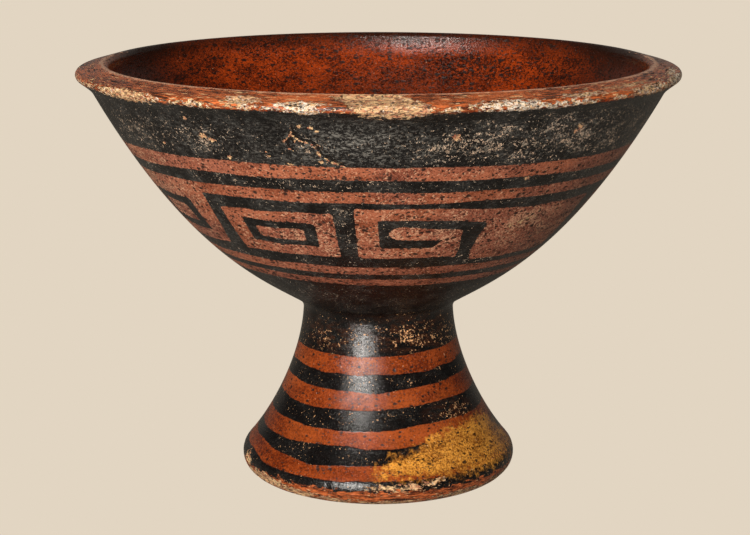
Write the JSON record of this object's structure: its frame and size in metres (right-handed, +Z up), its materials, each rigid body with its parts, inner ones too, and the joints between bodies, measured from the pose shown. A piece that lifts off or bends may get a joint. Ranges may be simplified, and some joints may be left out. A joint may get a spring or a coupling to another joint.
{
  "type": "terracotta pedestal bowl",
  "caption": "Wide fired-clay bowl on a flared hollow pedestal foot, with an everted lip and painted bands and square spirals outside.",
  "frame": {"origin": "middle of the foot's underside, on the surface the bowl stands on", "axes": "+Z up along the bowl's axis of turning; the front, with the largest loss on the lip, faces -Y"},
  "size_m": [0.23, 0.2293, 0.1625],
  "materials": {
    "painted_terracotta": "burnished slip, satin, worn to bare clay at the edges"
  },
  "bodies": {
    "root": {"pedestal_bowl": "painted_terracotta"}
  },
  "joints": []
}
